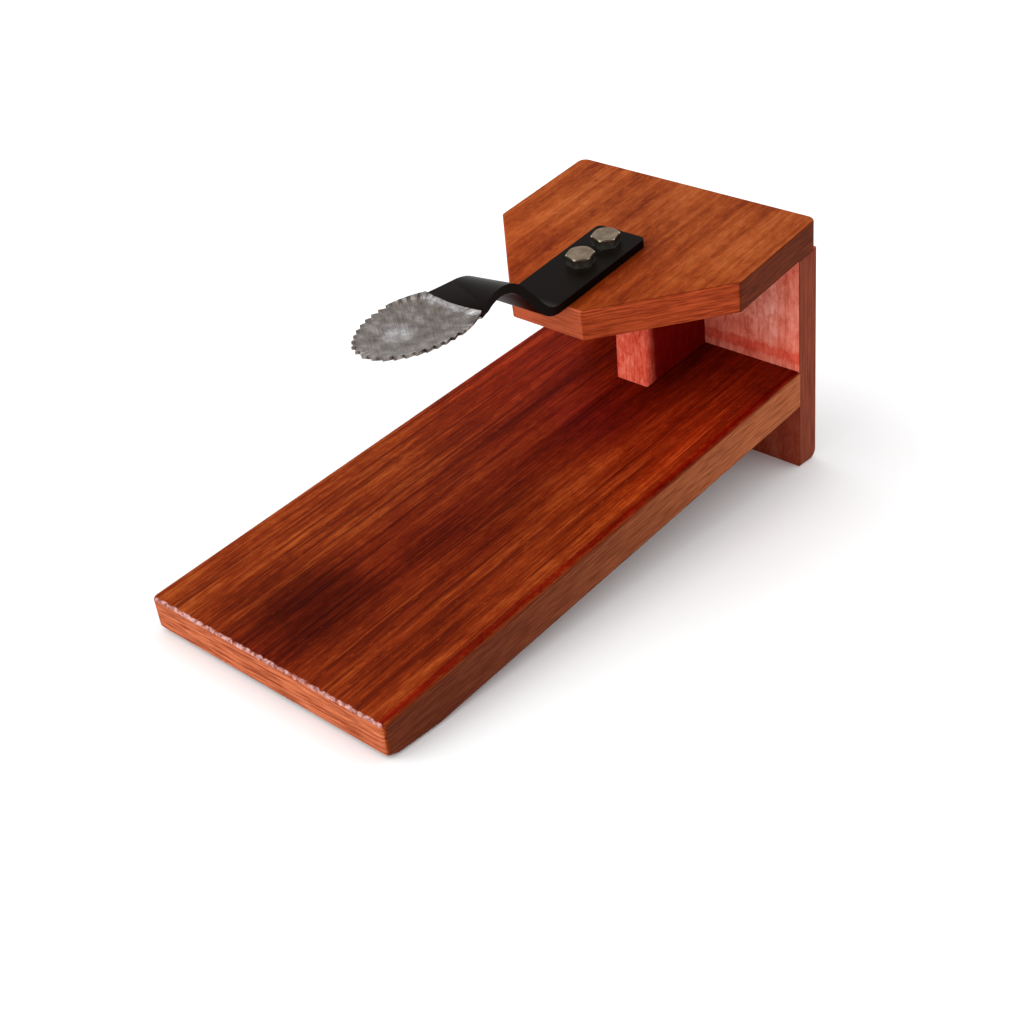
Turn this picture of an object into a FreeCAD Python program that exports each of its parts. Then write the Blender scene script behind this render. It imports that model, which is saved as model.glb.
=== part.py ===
import FreeCAD, Part
import math
import os
import Sketcher

# Bench coconut scraper: a toothed steel blade bolted on a raised wooden plate,
# carried by an upright and a brace at the back of a sloping base board.
#
# Millimetres and degrees. The origin is on the table, on the centre line, in the middle of
# the upright's foot. +X is to the right, +Y to the rear and +Z up.

Vector = FreeCAD.Vector

SIZES = (
    # name, value, what it sets
    ("board_width", 150, "width of the base board, which the upright and the plate share"),
    ("board_length", 325.5, "top of the board, from its front end to the upright"),
    ("board_thickness", 24.4, "thickness of the base board"),
    ("board_slope", 7.6, "rise of the board towards the rear, in degrees"),
    ("board_top_round", 2, "roundover of the board's top edges"),
    ("board_under_round", 3, "roundover of the board's lower edges"),
    ("board_corner_round", 3, "radius of the board's front corners, seen from above"),
    ("toe_front", 6.5, "level toe beneath the board behind the board's front end"),
    ("toe_back", 33, "back of the level toe behind the board's front end"),
    ("lip_rise", 3, "height of the bevel from the toe up to the front end"),
    ("upright_thickness", 17, "thickness of the upright"),
    ("upright_lean", 3.45, "lean of the upright towards the front, past square to the board, in degrees"),
    ("upright_round", 1.5, "roundover of the upright's edges"),
    ("foot_round", 5, "roundover of the foot's rear edge"),
    ("throat_height", 68, "upright's face between the board and the plate"),
    ("plate_thickness", 16.8, "thickness of the top plate"),
    ("plate_depth", 128.7, "plate from its rear edge to its nose"),
    ("plate_straight", 71, "length of the plate's full-width rear part"),
    ("plate_nose_width", 45, "width of the plate's front edge"),
    ("plate_rear_round", 5, "radius of the plate's rear corners, seen from above"),
    ("plate_corner_round", 2, "radius of the plate's other corners, seen from above"),
    ("plate_edge_round", 1, "roundover of the plate's top and bottom edges"),
    ("brace_thickness", 20, "width of the brace, seen from the front"),
    ("brace_depth", 55.3, "brace from the upright to its front face, along the board"),
    ("brace_offset", 4.4, "brace to the right of the centre line"),
    ("brace_round", 1, "roundover of the brace's front edges"),
    ("strap_offset", 1.2, "blade and its bolts to the left of the centre line"),
    ("strap_width", 29.7, "width of the blade's flat bar"),
    ("strap_thickness", 4.5, "thickness of the blade's flat bar"),
    ("strap_corner_round", 3, "radius of the bar's rear corners"),
    ("strap_end_margin", 13.4, "bar behind the middle of its rear bolt"),
    ("bend_overhang", 12, "first bend of the bar in front of the plate's nose"),
    ("left_hump_reach", 23.1, "second bend in front of the first, on the left of the rolled neck"),
    ("left_hump_rise", 24.8, "height that the bar gains between its bends, on the left"),
    ("right_hump_reach", 28.2, "second bend in front of the first, on the right of the rolled neck"),
    ("right_hump_rise", 37.1, "height that the bar gains between its bends, on the right"),
    ("low_bend_radius", 13, "inner radius of the first bend"),
    ("high_bend_radius", 20, "inner radius of the second bend"),
    ("hump_width", 28.7, "width of the bar at its second bend"),
    ("root_reach", 48.5, "root of the leaf in front of the first bend"),
    ("root_rise", 27.3, "root of the leaf above the bar on the plate"),
    ("root_thickness", 3.2, "thickness that the bar is forged down to at the root"),
    ("blade_pitch", 5.5, "rise of the leaf from the plate's plane, in degrees"),
    ("root_width", 34, "width of the leaf at its root"),
    ("leaf_point_length", 64, "root of the leaf to the point where its sides would meet"),
    ("leaf_side_radius", 47, "radius of the leaf's long sides, seen from above"),
    ("leaf_tip_radius", 16, "radius of the leaf's rounded tip, seen from above"),
    ("leaf_thickness", 3.2, "leaf at the bottom of its dish"),
    ("dish_centre", 27, "deepest point of the dish in front of the root"),
    ("dish_depth", 1.8, "dish below the top of the neck at its deepest point"),
    ("dish_across_radius", 110, "radius of the hollow upper face, from side to side"),
    ("dish_along_radius", 243, "radius of the hollow upper face, from root to tip"),
    ("back_across_radius", 65, "radius of the round lower face, from side to side"),
    ("back_along_radius", 135, "radius of the round lower face, from root to tip"),
    ("tongue_length", 16, "bar that runs on beneath the leaf and thins out there"),
    ("tongue_width", 16, "width of that tongue at its end"),
    ("tongue_top_drop", 0.6, "top of the tongue's end below the middle of the bar"),
    ("tongue_under_drop", 2, "underside of the tongue's end below the middle of the bar"),
    ("tooth_pitch", 5, "distance between two tooth points along the rim"),
    ("tooth_depth", 2.2, "depth of the gullets between the teeth"),
    ("teeth_per_side", 10, "gullets on each side of the tip"),
    ("rear_bolt_setback", 76.5, "rear bolt in front of the plate's rear edge"),
    ("bolt_spacing", 21, "distance between the two bolts"),
    ("bolt_diameter", 8, "thread size of the bolts"),
    ("bolt_length", 35, "bolt below its head"),
    ("bolt_hole_clearance", 0.5, "room round a bolt, on the radius"),
    ("hex_flats", 13, "across the flats of the bolt heads and the nuts"),
    ("head_height", 5.3, "height of a bolt's head"),
    ("nut_height", 6.5, "height of a nut"),
    ("hex_chamfer", 0.9, "bevel on the corners of heads and nuts"),
    ("hex_turn", 43, "turn of the bolt heads, from a corner that points to the right, in degrees"),
    ("thread_clearance", 0.15, "room between a bolt and its nut, on the radius"),
    ("washer_diameter", 16, "outside of a washer"),
    ("washer_bore", 8.4, "hole of a washer"),
    ("washer_thickness", 1.6, "thickness of a washer"),
    ("screw_head", 8.4, "diameter of a wood screw's countersunk head"),
    ("screw_shank", 4.2, "diameter of a wood screw's shank"),
    ("screw_point", 5, "length of a wood screw's point"),
    ("recess_length", 4.4, "length of the two slots that cross in a wood screw's head"),
    ("recess_width", 0.9, "width of those slots"),
    ("recess_depth", 1.8, "depth of those slots"),
    ("screw_clearance", 0.15, "room round a wood screw, on the radius"),
    ("board_screw_length", 50, "screws from the upright into the board"),
    ("board_screw_inset", 20, "outer board screws in from the sides of the board"),
    ("centre_screw_offset", 9, "middle board screw to the left of the centre line, clear of the brace"),
    ("brace_screw_length", 45, "screws from the upright into the brace"),
    ("brace_screw_low", 36, "lower brace screw above the board, along the upright"),
    ("brace_screw_high", 57, "upper brace screw above the board, along the upright"),
    ("under_screw_length", 50, "screws from beneath the board into the brace"),
    ("under_screw_rear", 14, "rear under screw in front of the upright"),
    ("under_screw_front", 41, "front under screw in front of the upright"),
    ("dowel_diameter", 8, "diameter of the dowels"),
    ("dowel_length", 34, "length of the dowels"),
    ("dowel_in_plate", 10, "length of a dowel inside the plate"),
    ("dowel_clearance", 0.15, "room round a dowel, on the radius"),
    ("dowel_end_gap", 1, "room for glue at each end of a dowel"),
    ("outer_dowel_inset", 17, "outer dowels in from the sides of the plate"),
    ("brace_dowel_setback", 40, "brace dowel in front of the upright"),
)

# Angles of the two tilted frames that the pieces are set out in.
SLOPE = "(Sizes.board_slope * 1 deg)"
LEAN = "((Sizes.board_slope + Sizes.upright_lean) * 1 deg)"
OUT_OF_SQUARE = "(Sizes.upright_lean * 1 deg)"

# Both frames start on the joint line, where the board's top meets the upright's front face.
# The toe lies flat on the table, and that sets how high up the upright the joint line is.
JOINT_RISE = (
    f"(((Sizes.board_length - Sizes.toe_back) * sin({SLOPE})"
    f" + Sizes.board_thickness * cos({SLOPE})) / cos({LEAN}))"
)
JOINT_Y = f"(-Sizes.upright_thickness / (2 * cos({LEAN})) - {JOINT_RISE} * sin({LEAN}))"
JOINT_Z = f"({JOINT_RISE} * cos({LEAN}))"

# The flat bar's centre line turns at two bends. Distances run forward from the plate's rear
# edge and up from the plate's top. The hump is higher on the right of the neck than on the
# left, and the bar is level from side to side on the plate and at the leaf's root.
PITCH = "(Sizes.blade_pitch * 1 deg)"
HALF_BAR = "(Sizes.strap_thickness / 2)"
BAR_START = "(Sizes.rear_bolt_setback - Sizes.strap_end_margin)"
LOW_BEND = "(Sizes.plate_depth + Sizes.bend_overhang)"
HIGH_BEND = f"({LOW_BEND} + (Sizes.left_hump_reach + Sizes.right_hump_reach) / 2)"
NECK_END = f"({LOW_BEND} + Sizes.root_reach)"
NECK_HEIGHT = f"({HALF_BAR} + Sizes.root_rise)"
BLADE_ACROSS = "-Sizes.strap_offset"

# Lengths closer than the tolerance count as the same. The blank margin is the spare length of
# the blanks and tools that the blade is cut with, and the neck margin is the spare width of
# the bar on each side before it is cut to its plan.
ROUND_TOLERANCE = 0.01
BLANK_MARGIN = 20
NECK_MARGIN = 1

doc = FreeCAD.newDocument("CoconutScraper")


def make_sheet():
    """Write the driving dimensions to the spreadsheet."""
    sheet = doc.addObject("Spreadsheet::Sheet", "Sizes")
    for row, (name, value, meaning) in enumerate(SIZES, start=1):
        sheet.set(f"A{row}", name)
        sheet.set(f"B{row}", str(value))
        sheet.set(f"C{row}", meaning)
        sheet.setAlias(f"B{row}", name)
    doc.recompute()
    return sheet


SHEET = make_sheet()


def number(expression):
    """Value of an expression of the sheet, as a plain number."""
    value = SHEET.evalExpression(expression)
    return float(getattr(value, "Value", value))


# ---------------------------------------------------------------- building helpers


def origin_plane(body, role):
    """One of a body's own origin planes."""
    return next(item for item in body.Origin.OriginFeatures if item.Role == role)


def new_sketch(body, name, plane):
    """An empty sketch on one of the body's origin planes."""
    sketch = body.newObject("Sketcher::SketchObject", name)
    sketch.AttachmentSupport = (origin_plane(body, plane), "")
    sketch.MapMode = "FlatFace"
    return sketch


def bind(sketch, constraint, name, expression):
    """Add a dimension to a sketch and tie it to an expression."""
    index = sketch.addConstraint(constraint)
    sketch.renameConstraint(index, name)
    sketch.setExpression(f"Constraints.{name}", expression)


def bind_point(sketch, edge, end, name, across, up):
    """Tie an end of a sketch edge to a place measured from the sketch's origin."""
    bind(sketch, Sketcher.Constraint("DistanceX", -1, 1, edge, end, number(across)), f"{name}_across", across)
    bind(sketch, Sketcher.Constraint("DistanceY", -1, 1, edge, end, number(up)), f"{name}_up", up)


def arc(start, end, radius, turn):
    """An arc of less than half a circle that turns to the left (1) or to the right (-1)."""
    chord = end - start
    height = radius - math.sqrt(radius ** 2 - (chord.Length / 2) ** 2)
    outward = Vector(chord.y, -chord.x, 0).normalize() * turn
    return Part.Arc(start, (start + end) * 0.5 + outward * height, end)


def polygon(body, name, plane, corners, bends=None):
    """A closed sketch whose corners are (across, up) pairs of expressions.

    Its edges are straight, except those in bends. There the number of an edge is given with
    an arc's radius, as an expression, and its turn: 1 to the left or -1 to the right.
    """
    bends = bends or {}
    sketch = new_sketch(body, name, plane)
    points = [Vector(number(across), number(up), 0) for across, up in corners]
    edge_ends = []
    for edge, (start, end) in enumerate(zip(points, points[1:] + points[:1])):
        turn = 1
        line = Part.LineSegment(start, end)
        if edge in bends:
            radius, turn = bends[edge]
            line = arc(start, end, number(radius), turn)
        sketch.addGeometry(line, False)
        # Sketcher turns every arc anticlockwise, so one that turns right starts at its far end.
        edge_ends.append((1, 2) if turn == 1 else (2, 1))
    for edge, (across, up) in enumerate(corners):
        first, last = edge_ends[edge][0], edge_ends[edge - 1][1]
        sketch.addConstraint(Sketcher.Constraint("Coincident", (edge - 1) % len(points), last, edge, first))
        bind_point(sketch, edge, first, f"corner{edge}", across, up)
    for edge, (radius, _) in bends.items():
        bind(sketch, Sketcher.Constraint("Radius", edge, number(radius)), f"radius{edge}", radius)
    return sketch


def pad(body, sketch, length, symmetric=False):
    """Pad a sketch by an expression."""
    feature = body.newObject("PartDesign::Pad", f"{sketch.Name}Pad")
    feature.Profile = sketch
    feature.SideType = "Symmetric" if symmetric else "One side"
    feature.setExpression("Length", length)
    sketch.Visibility = False
    doc.recompute()
    return feature


def round_edges(body, name, radius, wanted):
    """Fillet the edges of the body's last feature that a test picks."""
    base = body.Tip
    picked = [f"Edge{index}" for index, edge in enumerate(base.Shape.Edges, start=1) if wanted(edge)]
    feature = body.newObject("PartDesign::Fillet", name)
    feature.Base = (base, picked)
    feature.setExpression("Radius", radius)
    doc.recompute()
    return feature


def near(first, second):
    """Whether two lengths are the same, within rounding."""
    return abs(first - second) < ROUND_TOLERANCE


def middle(edge):
    """The point halfway along an edge."""
    return edge.valueAt((edge.FirstParameter + edge.LastParameter) / 2)


def runs_along(edge, axis):
    """Whether a straight edge is parallel to an axis."""
    direction = edge.tangentAt(edge.FirstParameter)
    return isinstance(edge.Curve, Part.Line) and near(abs(direction.dot(axis)), 1)


def seat(item, angle, across="0", back="0", up="0", turn="0 deg"):
    """Place an item in a tilted frame.

    The frame starts on the joint line. Its second axis runs back along the board or through
    the upright, its third axis runs up square to that, and turn is added to its tilt.
    """
    about_x = FreeCAD.Rotation(Vector(0, 1, 0), Vector(0, 0, 1))
    item.Placement = FreeCAD.Placement(Vector(0, 0, 0), about_x)
    item.setExpression("Placement.Base.x", across)
    item.setExpression("Placement.Base.y", f"{JOINT_Y} + ({back}) * cos({angle}) - ({up}) * sin({angle})")
    item.setExpression("Placement.Base.z", f"{JOINT_Z} + ({back}) * sin({angle}) + ({up}) * cos({angle})")
    item.setExpression("Placement.Rotation.Angle", f"{angle} + {turn}")


def new_body(name):
    """An empty body."""
    return doc.addObject("PartDesign::Body", name)


def turned(name, corners):
    """A turned body: a half section of (radius, height) corners spun about the upright axis."""
    body = new_body(name)
    sketch = polygon(body, f"{name}Section", "XZ_Plane", corners)
    feature = body.newObject("PartDesign::Revolution", f"{name}Turn")
    feature.Profile = sketch
    feature.ReferenceAxis = (sketch, ["V_Axis"])
    feature.Angle = 360
    sketch.Visibility = False
    doc.recompute()
    return body


def combine(kind, name, first, second):
    """A Part::Cut or Part::Common of two objects."""
    result = doc.addObject(kind, name)
    result.Base = first
    result.Tool = second
    return result


def fuse(name, items):
    """One object from several."""
    result = doc.addObject("Part::MultiFuse", name)
    result.Shapes = items
    return result


# ---------------------------------------------------------------- fasteners and dowels


def hex_blank(name, height):
    """A hexagonal prism on the upright axis."""
    prism = doc.addObject("Part::Prism", name)
    prism.Polygon = 6
    prism.setExpression("Placement.Rotation.Angle", "Sizes.hex_turn * 1 deg")
    prism.setExpression("Circumradius", "Sizes.hex_flats / (2 * cos(30 deg))")
    prism.setExpression("Height", height)
    return prism


def make_bolt(name):
    """Hexagon bolt, its head standing on the ground plane and its shank below it."""
    corner = "Sizes.hex_flats / (2 * cos(30 deg))"
    shank = "Sizes.bolt_diameter / 2"
    bevelled = turned(f"{name}Bevel", (
        ("0", "0"),
        (corner, "0"),
        (corner, "Sizes.head_height - Sizes.hex_chamfer * tan(30 deg)"),
        (f"{corner} - Sizes.hex_chamfer", "Sizes.head_height"),
        ("0", "Sizes.head_height"),
    ))
    head = combine("Part::Common", f"{name}Head", hex_blank(f"{name}Hex", "Sizes.head_height"), bevelled)
    stem = turned(f"{name}Stem", (
        ("0", "0"),
        (shank, "0"),
        (shank, "-(Sizes.bolt_length - Sizes.hex_chamfer)"),
        (f"{shank} - Sizes.hex_chamfer", "-Sizes.bolt_length"),
        ("0", "-Sizes.bolt_length"),
    ))
    return fuse(name, [head, stem])


def make_nut(name):
    """Hexagon nut on the ground plane, bevelled on both faces."""
    corner = "Sizes.hex_flats / (2 * cos(30 deg))"
    bevel_rise = "Sizes.hex_chamfer * tan(30 deg)"
    bore = "Sizes.bolt_diameter / 2 + Sizes.thread_clearance"
    bevelled = turned(f"{name}Bevel", (
        (bore, "0"),
        (f"{corner} - Sizes.hex_chamfer", "0"),
        (corner, bevel_rise),
        (corner, f"Sizes.nut_height - {bevel_rise}"),
        (f"{corner} - Sizes.hex_chamfer", "Sizes.nut_height"),
        (bore, "Sizes.nut_height"),
    ))
    return combine("Part::Common", name, hex_blank(f"{name}Hex", "Sizes.nut_height"), bevelled)


def make_washer(name):
    """Flat washer on the ground plane."""
    return turned(name, (
        ("Sizes.washer_bore / 2", "0"),
        ("Sizes.washer_diameter / 2", "0"),
        ("Sizes.washer_diameter / 2", "Sizes.washer_thickness"),
        ("Sizes.washer_bore / 2", "Sizes.washer_thickness"),
    ))


def screw_form(name, length, room="0"):
    """Outer form of a countersunk wood screw that points down, with room round it for its hole."""
    head = f"(Sizes.screw_head / 2 + {room})"
    shank = f"(Sizes.screw_shank / 2 + {room})"
    return turned(name, (
        ("0", "0"),
        (head, "0"),
        (shank, f"{shank} - {head}"),
        (shank, f"-({length} - Sizes.screw_point)"),
        ("0", f"-({length} + {room})"),
    ))


def make_recess(name):
    """Cross of two slots, sunk into a screw's head from the ground plane."""
    slots = []
    for turn in ("Across", "Along"):
        slot = doc.addObject("Part::Box", f"{name}{turn}")
        sides = ("Sizes.recess_length", "Sizes.recess_width")
        across, along = sides if turn == "Across" else reversed(sides)
        slot.setExpression("Length", across)
        slot.setExpression("Width", along)
        slot.setExpression("Height", "Sizes.recess_depth")
        slot.setExpression("Placement.Base.x", f"-{across} / 2")
        slot.setExpression("Placement.Base.y", f"-{along} / 2")
        slot.setExpression("Placement.Base.z", "-Sizes.recess_depth")
        slots.append(slot)
    return fuse(name, slots)


def make_screw(name, length):
    """Countersunk wood screw with a cross recess."""
    return combine("Part::Cut", name, screw_form(f"{name}Form", length), make_recess(f"{name}Recess"))


def make_dowel(name):
    """Dowel whose middle of the upper end is at its origin."""
    radius = "Sizes.dowel_diameter / 2"
    return turned(name, (
        ("0", "0"),
        (radius, "0"),
        (radius, "-Sizes.dowel_length"),
        ("0", "-Sizes.dowel_length"),
    ))


def drill(name, radius, length):
    """A drill that points up from its origin."""
    tool = doc.addObject("Part::Cylinder", name)
    tool.setExpression("Radius", radius)
    tool.setExpression("Height", length)
    return tool


# ---------------------------------------------------------------- wooden pieces


def make_board():
    """Base board: a plank whose front underside is planed to a level toe and a bevelled lip."""
    front = "-Sizes.board_length"
    under = "-Sizes.board_thickness"
    toe_rise = f"(Sizes.toe_back - Sizes.toe_front) * tan({SLOPE})"
    body = new_body("BoardBlank")
    side = polygon(body, "BoardSide", "YZ_Plane", (
        (front, "0"),
        ("0", "0"),
        (f"Sizes.board_thickness * tan({OUT_OF_SQUARE})", under),
        (f"{front} + Sizes.toe_back", under),
        (f"{front} + Sizes.toe_front", f"{under} + {toe_rise}"),
        (front, f"{under} + {toe_rise} + Sizes.lip_rise"),
    ))
    pad(body, side, "Sizes.board_width", symmetric=True)
    front_at = number(front)
    side_at = number("Sizes.board_width / 2")
    round_edges(body, "BoardCorners", "Sizes.board_corner_round",
                lambda edge: runs_along(edge, Vector(0, 0, 1)) and near(middle(edge).y, front_at))

    def on_rim(edge):
        """Whether an edge goes round the sides or the front of the board."""
        place = middle(edge)
        at_side = near(abs(place.x), side_at) and not runs_along(edge, Vector(0, 0, 1))
        at_front = place.y < front_at + number("Sizes.board_corner_round")
        mating = abs(place.y) < number("Sizes.board_thickness") and near(place.z, number(under) / 2)
        return (at_side or at_front) and not runs_along(edge, Vector(0, 0, 1)) and not mating

    round_edges(body, "BoardTopEdges", "Sizes.board_top_round",
                lambda edge: near(middle(edge).z, 0) and on_rim(edge))
    level = number("-Sizes.board_thickness / 2")
    round_edges(body, "BoardLowerEdges", "Sizes.board_under_round",
                lambda edge: middle(edge).z < level and on_rim(edge))
    seat(body, SLOPE)
    return body


def make_upright():
    """Upright: its foot is cut level with the table, and the plate sits on its top."""
    thickness = "Sizes.upright_thickness"
    body = new_body("UprightBlank")
    side = polygon(body, "UprightSide", "YZ_Plane", (
        ("0", f"-{JOINT_RISE}"),
        (thickness, f"-{JOINT_RISE} - {thickness} * tan({LEAN})"),
        (thickness, "Sizes.throat_height"),
        ("0", "Sizes.throat_height"),
    ))
    pad(body, side, "Sizes.board_width", symmetric=True)
    rear_at = number(thickness)
    side_at = number("Sizes.board_width / 2")
    round_edges(body, "FootRound", "Sizes.foot_round",
                lambda edge: runs_along(edge, Vector(1, 0, 0)) and near(middle(edge).y, rear_at)
                and middle(edge).z < 0)
    round_edges(body, "UprightRearEdges", "Sizes.upright_round",
                lambda edge: near(abs(middle(edge).x), side_at) and middle(edge).y > rear_at / 2
                and middle(edge).z < number("Sizes.throat_height") - ROUND_TOLERANCE)
    seat(body, LEAN)
    return body


def make_plate():
    """Top plate: full width at the rear, with long chamfers to a narrow nose."""
    half = "Sizes.board_width / 2"
    nose = "Sizes.plate_nose_width / 2"
    body = new_body("PlateBlank")
    plan = polygon(body, "PlatePlan", "XY_Plane", (
        (f"-{half}", "0"),
        (f"-{half}", "-Sizes.plate_straight"),
        (f"-{nose}", "-Sizes.plate_depth"),
        (nose, "-Sizes.plate_depth"),
        (half, "-Sizes.plate_straight"),
        (half, "0"),
    ))
    pad(body, plan, "Sizes.plate_thickness")
    upward = Vector(0, 0, 1)
    round_edges(body, "PlateRearCorners", "Sizes.plate_rear_round",
                lambda edge: runs_along(edge, upward) and near(middle(edge).y, 0))
    straight_at = number("-Sizes.plate_straight")
    round_edges(body, "PlateCorners", "Sizes.plate_corner_round",
                lambda edge: runs_along(edge, upward) and middle(edge).y < straight_at + ROUND_TOLERANCE)
    round_edges(body, "PlateEdges", "Sizes.plate_edge_round",
                lambda edge: near(edge.tangentAt(edge.FirstParameter).z, 0))
    seat(body, LEAN, back="Sizes.upright_thickness", up="Sizes.throat_height")
    return body


def make_brace():
    """Brace: stands square on the board, fills the corner and carries the plate."""
    foot_front = f"(Sizes.brace_depth * cos({OUT_OF_SQUARE}))"
    foot_rise = f"(Sizes.brace_depth * sin({OUT_OF_SQUARE}))"
    head_front = f"({foot_front} - (Sizes.throat_height - {foot_rise}) * tan({OUT_OF_SQUARE}))"
    body = new_body("BraceBlank")
    side = polygon(body, "BraceSide", "YZ_Plane", (
        ("0", "0"),
        ("0", "Sizes.throat_height"),
        (f"-{head_front}", "Sizes.throat_height"),
        (f"-{foot_front}", foot_rise),
    ))
    pad(body, side, "Sizes.brace_thickness", symmetric=True)
    half_height = number("Sizes.throat_height") / 2
    half_width = number("Sizes.brace_thickness") / 2

    def on_front_corner(edge):
        """Whether an edge runs up one side of the brace's front face."""
        place = middle(edge)
        up_the_side = near(abs(place.x), half_width) and abs(place.z - half_height) < half_height / 2
        return up_the_side and not near(place.y, 0)

    round_edges(body, "BraceFrontEdges", "Sizes.brace_round", on_front_corner)
    seat(body, LEAN, across="Sizes.brace_offset")
    return body


# ---------------------------------------------------------------- the blade


def bar_side(body, side, across):
    """Sketch of one side of the bar: its bent centre line with the bar's thickness on it."""
    reach = f"Sizes.{side}_hump_reach"
    rise = f"Sizes.{side}_hump_rise"
    ramp = f"atan({rise} / {reach})"
    neck = f"atan((Sizes.root_rise - {rise}) / (Sizes.root_reach - {reach}))"
    low_run = f"(Sizes.low_bend_radius + {HALF_BAR}) * tan({ramp} / 2)"
    high_run = f"(Sizes.high_bend_radius + {HALF_BAR}) * tan(({ramp} - {neck}) / 2)"
    low_bend = (LOW_BEND, HALF_BAR)
    high_bend = (f"({LOW_BEND} + {reach})", f"({HALF_BAR} + {rise})")
    root = (NECK_END, NECK_HEIGHT)

    def place(start, run, angle, lift):
        """Corner a run along an angle from a point of the centre line and a lift square to it."""
        forward = f"{start[0]} + ({run}) * cos({angle}) - ({lift}) * sin({angle})"
        return f"-({forward})", f"{start[1]} + ({run}) * sin({angle}) + ({lift}) * cos({angle})"

    level = "0 deg"
    stations = (
        ((BAR_START, HALF_BAR), "0", level),
        (low_bend, f"-{low_run}", level),
        (low_bend, low_run, ramp),
        (high_bend, f"-{high_run}", ramp),
        (high_bend, high_run, neck),
        (root, "0", PITCH),
    )
    above = [place(*station, HALF_BAR) for station in stations]
    below = [place(*station, f"-{HALF_BAR}") for station in stations[:-1]]
    below.append(place(root, "0", PITCH, f"{HALF_BAR} - Sizes.root_thickness"))
    tongue = [
        place(root, "0", PITCH, "0"),
        place(root, "Sizes.tongue_length", PITCH, "-Sizes.tongue_top_drop"),
        place(root, "Sizes.tongue_length", PITCH, "-Sizes.tongue_under_drop"),
    ]
    bends = {
        1: ("Sizes.low_bend_radius", -1),
        3: ("Sizes.high_bend_radius + Sizes.strap_thickness", 1),
        10: ("Sizes.high_bend_radius", -1),
        12: ("Sizes.low_bend_radius + Sizes.strap_thickness", 1),
    }
    sketch = polygon(body, f"{side.title()}BarSide", "YZ_Plane", above + tongue + below[::-1], bends)
    sketch.setExpression("AttachmentOffset.Base.z", across)
    return sketch


def make_bar():
    """Flat bar of the blade: bent up in front of the plate, then over a rolled neck to the leaf."""
    body = new_body("BarProfile")
    half_blank = f"(Sizes.root_width / 2 + {NECK_MARGIN})"
    left = bar_side(body, "left", f"-{half_blank}")
    right = bar_side(body, "right", half_blank)
    loft = body.newObject("PartDesign::AdditiveLoft", "BarLoft")
    loft.Profile = left
    loft.Sections = [right]
    loft.Ruled = True
    left.Visibility = False
    right.Visibility = False
    doc.recompute()
    seat(body, LEAN, across=BLADE_ACROSS, back="Sizes.upright_thickness",
         up="Sizes.throat_height + Sizes.plate_thickness")
    return body


def make_bar_plan():
    """Seen from above, the bar narrows to its hump, widens to the leaf's root and ends in a tongue."""
    half = "Sizes.strap_width / 2"
    hump = "Sizes.hump_width / 2"
    root = "Sizes.root_width / 2"
    tongue = "Sizes.tongue_width / 2"
    tongue_end = f"({NECK_END} + Sizes.tongue_length)"
    body = new_body("BarPlan")
    plan = polygon(body, "BarOutline", "XY_Plane", (
        (f"-{half}", f"-{BAR_START}"),
        (f"-{half}", f"-{LOW_BEND}"),
        (f"-{hump}", f"-{HIGH_BEND}"),
        (f"-{root}", f"-{NECK_END}"),
        (f"-{tongue}", f"-{tongue_end}"),
        (tongue, f"-{tongue_end}"),
        (root, f"-{NECK_END}"),
        (hump, f"-{HIGH_BEND}"),
        (half, f"-{LOW_BEND}"),
        (half, f"-{BAR_START}"),
    ))
    pad(body, plan, f"2 * (Sizes.right_hump_rise + {BLANK_MARGIN})", symmetric=True)
    start_at = number(f"-{BAR_START}")
    round_edges(body, "BarCorners", "Sizes.strap_corner_round",
                lambda edge: runs_along(edge, Vector(0, 0, 1)) and near(middle(edge).y, start_at))
    seat(body, LEAN, across=BLADE_ACROSS, back="Sizes.upright_thickness",
         up="Sizes.throat_height + Sizes.plate_thickness")
    return body


def seat_on_neck(item, forward="0", up="0"):
    """Place an item on the top of the neck's end, level with the leaf."""
    back = f"Sizes.upright_thickness - ({NECK_END} - {HALF_BAR} * sin({PITCH})) - ({forward}) * cos({PITCH})"
    back_raised = f"{back} + ({up}) * sin({PITCH})"
    height = (
        f"Sizes.throat_height + Sizes.plate_thickness + {NECK_HEIGHT} + {HALF_BAR} * cos({PITCH})"
        f" + ({forward}) * sin({PITCH}) + ({up}) * cos({PITCH})"
    )
    seat(item, LEAN, across=BLADE_ACROSS, back=back_raised, up=height, turn=f"-1 * {PITCH}")


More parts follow.
